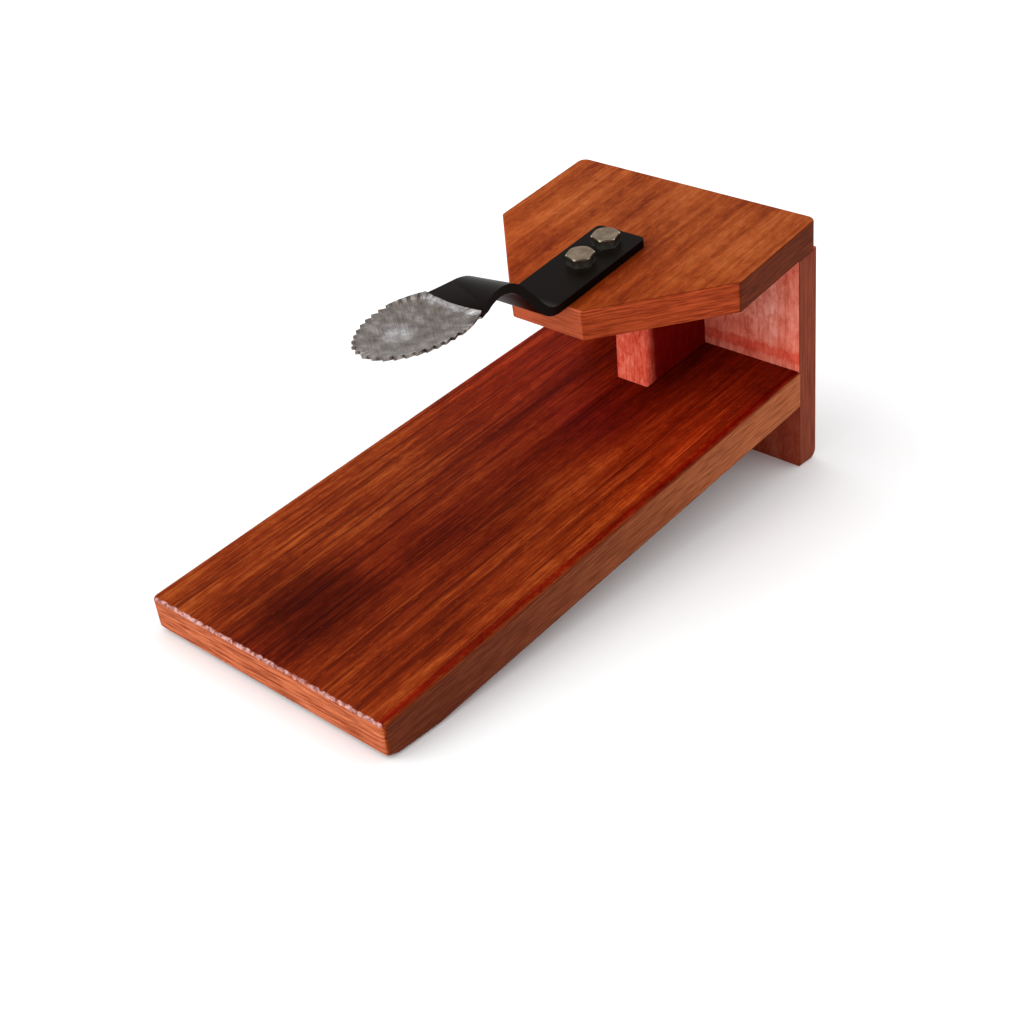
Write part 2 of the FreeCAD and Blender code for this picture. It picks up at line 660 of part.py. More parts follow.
def make_leaf_blank():
    """Leaf, seen from above: two long arcs from the root to a rounded tip."""
    half = number("Sizes.root_width / 2")
    point = number("Sizes.leaf_point_length")
    radius = number("Sizes.leaf_side_radius")
    centre_across, centre_forward = side_centre()
    belly = Vector(centre_across + radius, -centre_forward, 0)
    body = new_body("LeafBlank")
    plan = new_sketch(body, "LeafOutline", "XY_Plane")
    tip = Vector(0, -point, 0)
    plan.addGeometry(Part.LineSegment(Vector(-half, 0, 0), Vector(half, 0, 0)), False)
    plan.addGeometry(Part.Arc(Vector(half, 0, 0), belly, tip), False)
    plan.addGeometry(Part.Arc(Vector(-half, 0, 0), Vector(-belly.x, belly.y, 0), tip), False)
    bind_point(plan, 0, 1, "left_root", "-Sizes.root_width / 2", "0")
    bind_point(plan, 0, 2, "right_root", "Sizes.root_width / 2", "0")
    # Sketcher turns every arc anticlockwise: the right one runs from the point back to the
    # root, and the left one from its root to the point.
    plan.addConstraint(Sketcher.Constraint("Coincident", 1, 2, 0, 2))
    plan.addConstraint(Sketcher.Constraint("Coincident", 2, 1, 0, 1))
    plan.addConstraint(Sketcher.Constraint("Coincident", 1, 1, 2, 2))
    bind_point(plan, 1, 1, "point", "0", "-Sizes.leaf_point_length")
    for edge, side in ((1, "right"), (2, "left")):
        bind(plan, Sketcher.Constraint("Radius", edge, radius), f"{side}_radius", "Sizes.leaf_side_radius")
    pad(body, plan, f"2 * {BLANK_MARGIN}", symmetric=True)
    round_edges(body, "LeafTip", "Sizes.leaf_tip_radius",
                lambda edge: runs_along(edge, Vector(0, 0, 1)) and near(middle(edge).y, -point))
    seat_on_neck(body)
    return body


def side_centre():
    """Centre of the leaf's right side arc, as distances across and forward from the root."""
    half = number("Sizes.root_width / 2")
    point = number("Sizes.leaf_point_length")
    radius = number("Sizes.leaf_side_radius")
    chord = math.hypot(half, point)
    inset = math.sqrt(radius ** 2 - (chord / 2) ** 2)
    return half / 2 - inset * point / chord, point / 2 - inset * half / chord


def rim_point(distance):
    """Point on the leaf's right rim and the outward direction there.

    The distance runs along the rim from the middle of the tip. It follows the tip's arc and
    then the side's arc, which meet tangentially.
    """
    radius = number("Sizes.leaf_side_radius")
    tip_radius = number("Sizes.leaf_tip_radius")
    centre_across, centre_forward = side_centre()
    reach = math.sqrt((radius - tip_radius) ** 2 - centre_across ** 2)
    tip_centre = Vector(0, -(centre_forward + reach), 0)
    meeting_turn = math.atan2(-centre_across, reach)
    tip_arc = meeting_turn * tip_radius
    if distance < tip_arc:
        turn = distance / tip_radius
        centre, arc_radius = tip_centre, tip_radius
    else:
        turn = meeting_turn + (distance - tip_arc) / radius
        centre, arc_radius = Vector(centre_across, -centre_forward, 0), radius
    outward = Vector(math.sin(turn), -math.cos(turn), 0)
    return centre + outward * arc_radius, outward


def make_gullets():
    """Saw-tooth gullets round the rim, each with a steep face towards the tip.

    A tooth's back falls from its point to the foot of the next tooth's steep face, and the
    teeth of both sides point to the tip, where one tooth with two backs stands in the middle.
    """
    pitch = number("Sizes.tooth_pitch")
    depth = number("Sizes.tooth_depth")
    prisms = []
    for step in range(int(number("Sizes.teeth_per_side"))):
        point, outward = rim_point(step * pitch)
        next_point, next_outward = rim_point((step + 1) * pitch)
        corners = [
            point,
            next_point - next_outward * depth,
            next_point,
            next_point + next_outward * depth,
            point + outward * depth,
        ]
        for side in (1, -1):
            outline = [Vector(side * corner.x, corner.y, -BLANK_MARGIN) for corner in corners]
            face = Part.Face(Part.makePolygon(outline + outline[:1]))
            prisms.append(face.extrude(Vector(0, 0, 2 * BLANK_MARGIN)))
    gullets = doc.addObject("Part::Feature", "Gullets")
    gullets.Shape = Part.makeCompound(prisms)
    seat_on_neck(gullets)
    return gullets


def make_barrel(name, across, along, lowest):
    """A barrel-shaped tool over the dish, rounded by one radius across and another along.

    It is a ring with its lowest point over the middle of the dish. A circle of the across
    radius is spun about a line from side to side, the along radius above that point.
    """
    body = new_body(name)
    section = new_sketch(body, f"{name}Section", "XZ_Plane")
    radius = number(across)
    height = number(along)
    section.addGeometry(Part.Circle(Vector(0, radius, 0), Vector(0, 0, 1), radius), False)
    section.addGeometry(Part.LineSegment(Vector(-radius, height, 0), Vector(radius, height, 0)), True)
    bind(section, Sketcher.Constraint("Radius", 0, radius), "radius", across)
    bind_point(section, 0, 3, "middle", "0", across)
    bind_point(section, 1, 1, "axis_start", f"-{across}", along)
    bind_point(section, 1, 2, "axis_end", across, along)
    ring = body.newObject("PartDesign::Revolution", f"{name}Ring")
    ring.Profile = section
    ring.ReferenceAxis = (section, ["Axis0"])
    ring.Angle = 360
    section.Visibility = False
    seat_on_neck(body, forward="Sizes.dish_centre", up=f"-({lowest})")
    return body


def make_blade(bolt_drills):
    """Scraper blade: bent flat bar, dished leaf and saw teeth, drilled for its bolts."""
    bar = combine("Part::Common", "Bar", make_bar(), make_bar_plan())
    back = make_barrel("BackBarrel", "Sizes.back_across_radius", "Sizes.back_along_radius",
                       "Sizes.dish_depth + Sizes.leaf_thickness")
    hollow = make_barrel("DishBarrel", "Sizes.dish_across_radius", "Sizes.dish_along_radius",
                         "Sizes.dish_depth")
    rounded = combine("Part::Common", "RoundBackedLeaf", make_leaf_blank(), back)
    dished = combine("Part::Cut", "DishedLeaf", rounded, hollow)
    leaf = combine("Part::Cut", "ToothedLeaf", dished, make_gullets())
    return combine("Part::Cut", "ScraperBlade", fuse("BladeBlank", [bar, leaf]), bolt_drills)


# ---------------------------------------------------------------- assembly


def build():
    """Make every sub-part and return the objects that are nodes, by name."""
    nodes = {}

    def node(name, item):
        """Give an object its node name."""
        item.Label = name
        nodes[name] = item
        return item

    # Bolts, washers and nuts that clamp the blade to the plate.
    plate_top = "Sizes.throat_height + Sizes.plate_thickness"
    bolt_backs = {
        "rear": "Sizes.upright_thickness - Sizes.rear_bolt_setback",
        "front": "Sizes.upright_thickness - Sizes.rear_bolt_setback - Sizes.bolt_spacing",
    }
    bolt_drills = []
    for place, back in bolt_backs.items():
        bolt = node(f"{place}_bolt", make_bolt(f"{place.title()}Bolt"))
        seat(bolt, LEAN, across=BLADE_ACROSS, back=back, up=f"{plate_top} + Sizes.strap_thickness")
        washer = node(f"{place}_washer", make_washer(f"{place.title()}Washer"))
        seat(washer, LEAN, across=BLADE_ACROSS, back=back,
             up="Sizes.throat_height - Sizes.washer_thickness")
        nut = node(f"{place}_nut", make_nut(f"{place.title()}Nut"))
        seat(nut, LEAN, across=BLADE_ACROSS, back=back,
             up="Sizes.throat_height - Sizes.washer_thickness - Sizes.nut_height")
        hole = drill(f"{place.title()}BoltDrill", "Sizes.bolt_diameter / 2 + Sizes.bolt_hole_clearance",
                     "Sizes.plate_thickness + 2 * Sizes.strap_thickness")
        seat(hole, LEAN, across=BLADE_ACROSS, back=back,
             up="Sizes.throat_height - Sizes.strap_thickness / 2")
        bolt_drills.append(hole)
    bolt_holes = fuse("BoltHoles", bolt_drills)

    def screw(name, length, holes, angle, **place):
        """A wood screw and the hole it is driven in, which is added to a list."""
        title = name.title().replace("_", "")
        seat(node(name, make_screw(title, length)), angle, **place)
        hole = screw_form(f"{title}Drill", length, "Sizes.screw_clearance")
        seat(hole, angle, **place)
        holes.append(hole)

    # Screws from the rear of the upright into the board's end and into the brace.
    board_holes = []
    mid_board = "-Sizes.board_thickness / 2"
    outer_screw = "(Sizes.board_width / 2 - Sizes.board_screw_inset)"
    board_screw_places = {
        "left": f"-{outer_screw}",
        "centre": "-Sizes.centre_screw_offset",
        "right": outer_screw,
    }
    for side, across in board_screw_places.items():
        screw(f"{side}_board_screw", "Sizes.board_screw_length", board_holes, LEAN,
              across=across, back="Sizes.upright_thickness", up=mid_board, turn="-90 deg")
    brace_holes = []
    for height in ("low", "high"):
        screw(f"{height}_brace_screw", "Sizes.brace_screw_length", brace_holes, LEAN,
              across="Sizes.brace_offset", back="Sizes.upright_thickness",
              up=f"Sizes.brace_screw_{height}", turn="-90 deg")

    # Screws from beneath the board up into the brace.
    under_holes = []
    for place in ("rear", "front"):
        screw(f"{place}_under_screw", "Sizes.under_screw_length", under_holes, SLOPE,
              across="Sizes.brace_offset", back=f"-Sizes.under_screw_{place}",
              up="-Sizes.board_thickness", turn="180 deg")

    # Dowels that hold the plate, four evenly spread along the upright and one in the brace.
    dowel_holes = {"upright": [], "brace": []}
    half_upright = "Sizes.upright_thickness / 2"
    outer_dowel = "(Sizes.board_width / 2 - Sizes.outer_dowel_inset)"
    spots = (
        ("outer_left", "upright", f"-{outer_dowel}", half_upright),
        ("inner_left", "upright", f"-{outer_dowel} / 3", half_upright),
        ("inner_right", "upright", f"{outer_dowel} / 3", half_upright),
        ("outer_right", "upright", outer_dowel, half_upright),
        ("brace", "brace", "Sizes.brace_offset", "-Sizes.brace_dowel_setback"),
    )
    for name, carrier, across, back in spots:
        title = name.title().replace("_", "")
        dowel = node(f"{name}_dowel", make_dowel(f"{title}Dowel"))
        seat(dowel, LEAN, across=across, back=back, up="Sizes.throat_height + Sizes.dowel_in_plate")
        hole = drill(f"{title}DowelDrill", "Sizes.dowel_diameter / 2 + Sizes.dowel_clearance",
                     "Sizes.dowel_length + 2 * Sizes.dowel_end_gap")
        seat(hole, LEAN, across=across, back=back,
             up="Sizes.throat_height + Sizes.dowel_in_plate - Sizes.dowel_length - Sizes.dowel_end_gap")
        dowel_holes[carrier].append(hole)

    # Wooden pieces and the blade, each drilled for what passes through it.
    every_dowel = dowel_holes["upright"] + dowel_holes["brace"]
    node("base_board", combine("Part::Cut", "BaseBoard", make_board(),
                               fuse("BoardDrills", board_holes + under_holes)))
    node("rear_upright", combine("Part::Cut", "RearUpright", make_upright(),
                                 fuse("UprightDrills", board_holes + brace_holes + dowel_holes["upright"])))
    node("centre_brace", combine("Part::Cut", "CentreBrace", make_brace(),
                                 fuse("BraceDrills", brace_holes + under_holes + dowel_holes["brace"])))
    node("top_plate", combine("Part::Cut", "TopPlate", make_plate(),
                              fuse("PlateDrills", bolt_drills + every_dowel)))
    node("scraper_blade", make_blade(bolt_holes))
    doc.recompute()
    return nodes


def check(nodes):
    """Stop if an object failed or a sub-part isn't one sound solid."""
    for item in doc.Objects:
        if "Invalid" in item.State or "Error" in item.State:
            raise RuntimeError(f"{item.Name} failed: {item.State}")
    for name, item in nodes.items():
        shape = item.Shape
        if shape.isNull() or not shape.isValid() or len(shape.Solids) != 1:
            raise RuntimeError(f"{name} is not one valid solid")


def export(nodes):
    """Write each sub-part to its own STEP file."""
    os.makedirs("parts", exist_ok=True)
    for name, item in nodes.items():
        item.Shape.exportStep(f"parts/{name}.step")
        print(f"{name}: {item.Shape.Volume / 1000:.1f} cm3, {len(item.Shape.Faces)} faces")


all_nodes = build()
check(all_nodes)
export(all_nodes)
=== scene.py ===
"""Bench coconut scraper: finishes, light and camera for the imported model.

Metres throughout, in the model's own frame: +X to the right, +Y to the rear and +Z up, with
the origin on the table in the middle of the upright's foot.
"""

import logging
import math
from dataclasses import dataclass
from enum import Enum

import bmesh
import bpy
from mathutils import Matrix, Vector

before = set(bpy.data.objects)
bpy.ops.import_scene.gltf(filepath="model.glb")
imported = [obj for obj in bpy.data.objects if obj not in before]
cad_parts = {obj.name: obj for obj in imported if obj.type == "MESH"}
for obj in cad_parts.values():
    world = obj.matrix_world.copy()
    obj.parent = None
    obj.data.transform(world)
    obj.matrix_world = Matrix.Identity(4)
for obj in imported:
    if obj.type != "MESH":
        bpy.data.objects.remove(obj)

LOG = logging.getLogger("coconut_scraper")
IMAGE_SIDE = 1024

BOARD_SLOPE = math.radians(7.6)
UPRIGHT_LEAN = math.radians(11.05)
LEAF_PITCH = math.radians(5.55)

Colour = tuple[float, float, float]
Triple = tuple[float, float, float]
Range = tuple[float, float]

# Ranges that hold nearly all of a noise's values, for a softer and a harder contrast.
SOFT_CONTRAST: Range = (0.28, 0.72)
HARD_CONTRAST: Range = (0.3, 0.7)

# The line where the board's top meets the upright, and the directions that faces look in.
JOINT: Triple = (0.0, -0.02094, 0.06287)
RIGHT: Triple = (1.0, 0.0, 0.0)
LEFT: Triple = (-1.0, 0.0, 0.0)
REAR: Triple = (0.0, 1.0, 0.0)
FRONT: Triple = (0.0, -1.0, 0.0)
UP: Triple = (0.0, 0.0, 1.0)
DOWN: Triple = (0.0, 0.0, -1.0)


class Grain(Enum):
    """Direction in which a piece of wood's fibres run."""

    ALONG_BOARD = (BOARD_SLOPE, 0.0)
    ALONG_PLATE = (UPRIGHT_LEAN, 0.0)
    UP_UPRIGHT = (UPRIGHT_LEAN, math.pi / 2)

    def __init__(self, lean: float, rise: float) -> None:
        """Name the two turns of a direction.

        Args:
            lean: Turn of the piece's own frame about the X axis.
            rise: Turn of the fibres in that frame, from its direction to the rear upwards.
        """
        self.lean = lean
        self.rise = rise


# ---------------------------------------------------------------- shader tree


@dataclass(frozen=True)
class Pattern:
    """Noise with cells of a size in metres along each axis.

    The shift is the part of the endless pattern that is used, detail the number of finer
    layers, roughness their strength, and distortion the amount of swirl.
    """

    cell: Triple
    shift: float = 0.0
    detail: float = 3.0
    roughness: float = 0.5
    distortion: float = 0.0


class ShaderTree:
    """Short calls for building a material's node tree."""

    def __init__(self, name: str) -> None:
        """Start a material with an empty tree.

        Args:
            name: Name of the material.
        """
        self.material = bpy.data.materials.new(name)
        self.material.use_nodes = True
        self.tree = self.material.node_tree
        self.tree.nodes.clear()
        self.output = self.tree.nodes.new("ShaderNodeOutputMaterial")

    def node(self, kind: str, settings: dict | None = None, **inputs: object) -> bpy.types.Node:
        """Add a node.

        Args:
            kind: Blender's type name of the node, without "ShaderNode".
            settings: Properties of the node itself.
            inputs: Values or sockets for its inputs, by name with "_" for a space.

        Returns:
            The new node.
        """
        made = self.tree.nodes.new(f"ShaderNode{kind}")
        for name, value in (settings or {}).items():
            setattr(made, name, value)
        for name, value in inputs.items():
            self.feed(made.inputs[name.replace("_", " ")], value)
        return made

    def node_of(self, kind: str, settings: dict, values: tuple) -> bpy.types.Node:
        """Add a node whose inputs are filled in their order.

        Args:
            kind: Blender's type name of the node, without "ShaderNode".
            settings: Properties of the node itself.
            values: Values or sockets for its inputs, from the first on.

        Returns:
            The new node.
        """
        made = self.node(kind, settings)
        for socket, value in zip(made.inputs, values):
            self.feed(socket, value)
        return made

    def feed(self, socket: bpy.types.NodeSocket, value: object) -> None:
        """Link a socket to an input, or set the input's value.

        Args:
            socket: The input.
            value: Value or socket for it.
        """
        if isinstance(value, bpy.types.NodeSocket):
            self.tree.links.new(value, socket)
        else:
            socket.default_value = value

    def math(self, operation: str, *values: object) -> bpy.types.NodeSocket:
        """Result of a Math node on numbers or sockets."""
        return self.node_of("Math", {"operation": operation}, values).outputs[0]

    def mix(self, factor: object, first: object, second: object,
            blend: str = "MIX") -> bpy.types.NodeSocket:
        """Mixed colour.

        Args:
            factor: Share of the second colour.
            first: Colour or socket.
            second: Colour or socket.
            blend: Blender's name of the blend mode.

        Returns:
            The socket that holds the mixed colour.
        """
        made = self.node("Mix", {"data_type": "RGBA", "blend_type": blend})
        colour_inputs = [socket for socket in made.inputs if socket.type == "RGBA"]
        self.feed(made.inputs[0], factor)
        for socket, value in zip(colour_inputs, (first, second)):
            self.feed(socket, value if isinstance(value, bpy.types.NodeSocket) else (*value, 1.0))
        return next(socket for socket in made.outputs if socket.type == "RGBA")

    def ramp(self, factor: bpy.types.NodeSocket,
             stops: list[tuple[float, Colour]]) -> bpy.types.NodeSocket:
        """Colour that a factor picks.

        Args:
            factor: Position between the stops.
            stops: Positions and colours, in rising order.

        Returns:
            The socket that holds the colour.
        """
        made = self.node("ValToRGB")
        elements = made.color_ramp.elements
        while len(elements) < len(stops):
            elements.new(0.5)
        for element, (position, colour) in zip(elements, stops):
            element.position = position
            element.color = (*colour, 1.0)
        self.feed(made.inputs[0], factor)
        return made.outputs[0]

    def along(self, vector: bpy.types.NodeSocket, direction: Triple) -> bpy.types.NodeSocket:
        """How far a vector reaches along a unit direction."""
        made = self.node_of("VectorMath", {"operation": "DOT_PRODUCT"}, (vector, direction))
        return made.outputs["Value"]

    def spread(self, value: bpy.types.NodeSocket, low: float, high: float) -> bpy.types.NodeSocket:
        """Value stretched so that low becomes 0 and high becomes 1, with a soft start and end."""
        made = self.node_of("MapRange", {"interpolation_type": "SMOOTHSTEP"}, (value, low, high))
        return made.outputs[0]

    def place(self, origin: Triple, turn: Triple) -> bpy.types.NodeSocket:
        """Object coordinates measured from an origin along turned axes.

        Args:
            origin: Point to measure from.
            turn: Turn of the axes about X, Y and Z.

        Returns:
            The socket that holds the coordinates in metres.
        """
        coordinates = self.node("TexCoord").outputs["Object"]
        made = self.node("Mapping", {"vector_type": "TEXTURE"}, Vector=coordinates,
                         Location=origin, Rotation=turn)
        return made.outputs[0]

    def from_centre(self, vector: bpy.types.NodeSocket, centre: Triple,
                    size: Triple) -> bpy.types.NodeSocket:
        """Coordinates from a centre, counted in sizes along each axis."""
        return self.node("Mapping", {"vector_type": "TEXTURE"}, Vector=vector,
                         Location=centre, Scale=size).outputs[0]

    def length(self, vector: bpy.types.NodeSocket) -> bpy.types.NodeSocket:
        """Length of a vector."""
        return self.node_of("VectorMath", {"operation": "LENGTH"}, (vector,)).outputs["Value"]

    def stretched(self, vector: bpy.types.NodeSocket, cell: Triple,
                  shift: float) -> bpy.types.NodeSocket:
        """Coordinates counted in cells and shifted to another part of a pattern.

        Args:
            vector: Coordinates in metres.
            cell: Size of a cell in metres along each axis.
            shift: Number of cells to shift by along each axis.

        Returns:
            The socket that holds the counted coordinates.
        """
        scale = tuple(1.0 / size for size in cell)
        made = self.node("Mapping", {"vector_type": "POINT"}, Vector=vector,
                         Location=(shift, shift, shift), Scale=scale)
        return made.outputs[0]

    def noise(self, vector: bpy.types.NodeSocket, pattern: Pattern,
              shift: float = 0.0) -> bpy.types.NodeSocket:
        """Noise of a pattern.

        Args:
            vector: Coordinates in metres.
            pattern: Size and kind of the noise.
            shift: Number of cells that the material shifts all its patterns by.

        Returns:
            The socket that holds the noise, about 0.5 on average.
        """
        counted = self.stretched(vector, pattern.cell, pattern.shift + shift)
        made = self.node("TexNoise", Vector=counted, Scale=1.0, Detail=pattern.detail,
                         Roughness=pattern.roughness, Distortion=pattern.distortion)
        return made.outputs["Fac"]

    def bump(self, height: bpy.types.NodeSocket, distance: float, strength: float) -> bpy.types.NodeSocket:
        """Normal that a height in units of a distance in metres gives."""
        return self.node("Bump", Height=height, Distance=distance, Strength=strength).outputs[0]

    def finish(self, **inputs: object) -> bpy.types.Material:
        """Give the material its surface shader.

        Args:
            inputs: Values or sockets for the Principled shader's inputs, by name.

        Returns:
            The finished material.
        """
        shader = self.node("BsdfPrincipled", None, **inputs)
        self.tree.links.new(shader.outputs[0], self.output.inputs[0])
        return self.material


# ---------------------------------------------------------------- finishes


ZONE_EDGE = Pattern((0.004, 0.004, 0.004), 3.0, 4.0, 0.7)


@dataclass(frozen=True, kw_only=True)
class Zone:
    """Part of a piece, marked off along a direction of the piece's own frame.

    The zone fades in from start to full. With a width it fades out again behind them, and
    ragged is the distance that its edge wanders.
    """

    direction: Triple
    start: float
    full: float
    width: float | None = None
    ragged: float = 0.0

    def share(self, tree: ShaderTree, place: bpy.types.NodeSocket) -> bpy.types.NodeSocket:
        """How much a point belongs to the zone.

        Args:
            tree: Node tree of the material.
            place: Coordinates in the piece's own frame.

        Returns:
            The socket that holds 1 inside the zone and 0 outside it.
        """
        distance = tree.along(place, self.direction)
        if self.ragged:
            uneven = tree.math("SUBTRACT", tree.noise(place, ZONE_EDGE), 0.5)
            wander = tree.math("MULTIPLY", uneven, 2.0 * self.ragged)
            distance = tree.math("ADD", distance, wander)
        share = tree.spread(distance, self.start, self.full)
        if self.width is None:
            return share
        fade = self.full - self.start
        beyond = tree.spread(distance, self.full + self.width, self.full + self.width + fade)
        return tree.math("SUBTRACT", share, beyond)


@dataclass(frozen=True, kw_only=True)
class Tint(Zone):
    """Zone whose colour is multiplied by a factor, where stain and light soaked in unevenly."""

    factor: Colour

    def apply(self, tree: ShaderTree, place: bpy.types.NodeSocket,
              colour: bpy.types.NodeSocket) -> bpy.types.NodeSocket:
        """Colour with the tint on it."""
        return tree.mix(self.share(tree, place), colour, self.factor, "MULTIPLY")


@dataclass(frozen=True, kw_only=True)
class ShadedFace(Zone):
    """Zone streaked in its own two colours, which paint the light and shade that fall on that side of the
    piece.
    """

    dark: Colour
    pale: Colour
    cell: Triple

    def apply(self, tree: ShaderTree, place: bpy.types.NodeSocket,
              colour: bpy.types.NodeSocket) -> bpy.types.NodeSocket:
        """Put the face's own streaks in its place.

        Args:
            tree: Node tree of the material.
            place: Coordinates in the piece's own frame.
            colour: Colour of the piece without the face.

        Returns:
            The socket that holds the colour with the face.
        """
        streaks = tree.noise(place, Pattern(self.cell, shift=11.0, detail=4.0, roughness=0.6))
        own = tree.ramp(tree.spread(streaks, *SOFT_CONTRAST), [(0.0, self.dark), (1.0, self.pale)])
        return tree.mix(self.share(tree, place), colour, own)


@dataclass(frozen=True)
class Patch:
    """Soft spot whose colour is multiplied by a factor.

    It reaches a size from its centre along each axis. Core is the part of that reach where it
    is at its full strength, and ragged the part that its edge wanders.
    """

    centre: Triple
    size: Triple
    factor: Colour
    core: float = 0.2
    ragged: float = 0.5

    def apply(self, tree: ShaderTree, place: bpy.types.NodeSocket,
              colour: bpy.types.NodeSocket) -> bpy.types.NodeSocket:
        """Put the patch on a colour.

        Args:
            tree: Node tree of the material.
            place: Coordinates in the piece's own frame.
            colour: Colour of the piece without the patch.

        Returns:
            The socket that holds the colour with the patch.
        """
        reach = tree.length(tree.from_centre(place, self.centre, self.size))
        edge = Pattern(tuple(size / 2 for size in self.size), shift=5.0)
        uneven = tree.math("SUBTRACT", tree.noise(place, edge), 0.5)
        reach = tree.math("ADD", reach, tree.math("MULTIPLY", uneven, self.ragged))
        share = tree.math("SUBTRACT", 1.0, tree.spread(reach, self.core, 1.0))
        return tree.mix(share, colour, self.factor, "MULTIPLY")


@dataclass(frozen=True)
class VarnishedWood:
    """Red-brown hardwood under a satin varnish.

    Colours run from the dark lines of the grain to its palest ones. Streaks, fibres, mottle,
    stain, veins, pores and flecks are the strengths of the patterns that make up the grain.
    """

    name: str
    grain: Grain
    origin: Triple
    dark: Colour
    middle: Colour
    pale: Colour
    shift: float
    details: tuple[Tint | ShadedFace | Patch, ...] = ()
    streaks: float = 0.36
    fibres: float = 0.36
    mottle: float = 0.28
    stain: float = 0.8
    veins: float = 0.3
    pores: float = 0.45
    flecks: float = 0.6
    roughness: float = 0.42
    specular: float = 0.012
    tone_stops: Triple = (0.12, 0.5, 0.88)
    vein_range: Range = (0.54, 0.66)
    pore_range: Range = (0.60, 0.70)
    fleck_range: Range = (0.70, 0.76)
    relief_depth: float = 0.00008
    relief_strength: float = 0.35
    fibre_relief: float = 0.4
    streak_pattern: Pattern = Pattern((0.0075, 0.28, 0.0075), 0.0, 4.0, 0.62, 0.35)
    fibre_pattern: Pattern = Pattern((0.0008, 0.024, 0.0008), 7.0, 3.0, 0.65)
    mottle_pattern: Pattern = Pattern((0.0035, 0.008, 0.0035), 11.0, 4.0, 0.65, 0.6)
    stain_pattern: Pattern = Pattern((0.040, 0.085, 0.040), 13.0, 3.0, 0.55)
    vein_pattern: Pattern = Pattern((0.0026, 0.15, 0.0026), 23.0, 2.0, 0.55, 0.3)
    pore_pattern: Pattern = Pattern((0.00045, 0.007, 0.00045), 19.0, 1.0, 0.4)
    fleck_pattern: Pattern = Pattern((0.0005, 0.005, 0.0005), 29.0, 1.0, 0.4)

    def build(self) -> bpy.types.Material:
        """Build the material.

        Returns:
            The finished wood.
        """
        tree = ShaderTree(self.name)
        square = tree.place(self.origin, (self.grain.lean, 0.0, 0.0))
        place = tree.place(self.origin, (self.grain.lean + self.grain.rise, 0.0, 0.0))
        fibres = tree.noise(place, self.fibre_pattern, self.shift)
        layers = (
            (self.streaks, tree.noise(place, self.streak_pattern, self.shift)),
            (self.fibres, fibres),
            (self.mottle, tree.noise(place, self.mottle_pattern, self.shift)),
        )
        stains = tree.math("SUBTRACT", tree.noise(place, self.stain_pattern, self.shift), 0.5)
        tone = tree.math("MULTIPLY", stains, self.stain)
        for strength, pattern in layers:
            share = tree.math("MULTIPLY", tree.spread(pattern, *SOFT_CONTRAST), strength)
            tone = tree.math("ADD", tone, share)
        tone = tree.math("MAXIMUM", tree.math("MINIMUM", tone, 1.0), 0.0)
        colour = tree.ramp(tone, list(zip(self.tone_stops, (self.dark, self.middle, self.pale))))
        veins = tree.spread(tree.noise(place, self.vein_pattern, self.shift), *self.vein_range)
        colour = tree.mix(tree.math("MULTIPLY", veins, self.veins), colour, self.dark)
        pores = tree.spread(tree.noise(place, self.pore_pattern, self.shift), *self.pore_range)
        colour = tree.mix(tree.math("MULTIPLY", pores, self.pores), colour, self.dark)
        flecks = tree.spread(tree.noise(place, self.fleck_pattern, self.shift), *self.fleck_range)
        colour = tree.mix(tree.math("MULTIPLY", flecks, self.flecks), colour, self.pale)
        for detail in self.details:
            colour = detail.apply(tree, square, colour)
        relief = tree.math("SUBTRACT", tree.math("MULTIPLY", fibres, self.fibre_relief), pores)
        normal = tree.bump(relief, self.relief_depth, self.relief_strength)
        return tree.finish(Base_Color=colour, Roughness=self.roughness, Normal=normal,
                           Specular_IOR_Level=self.specular)


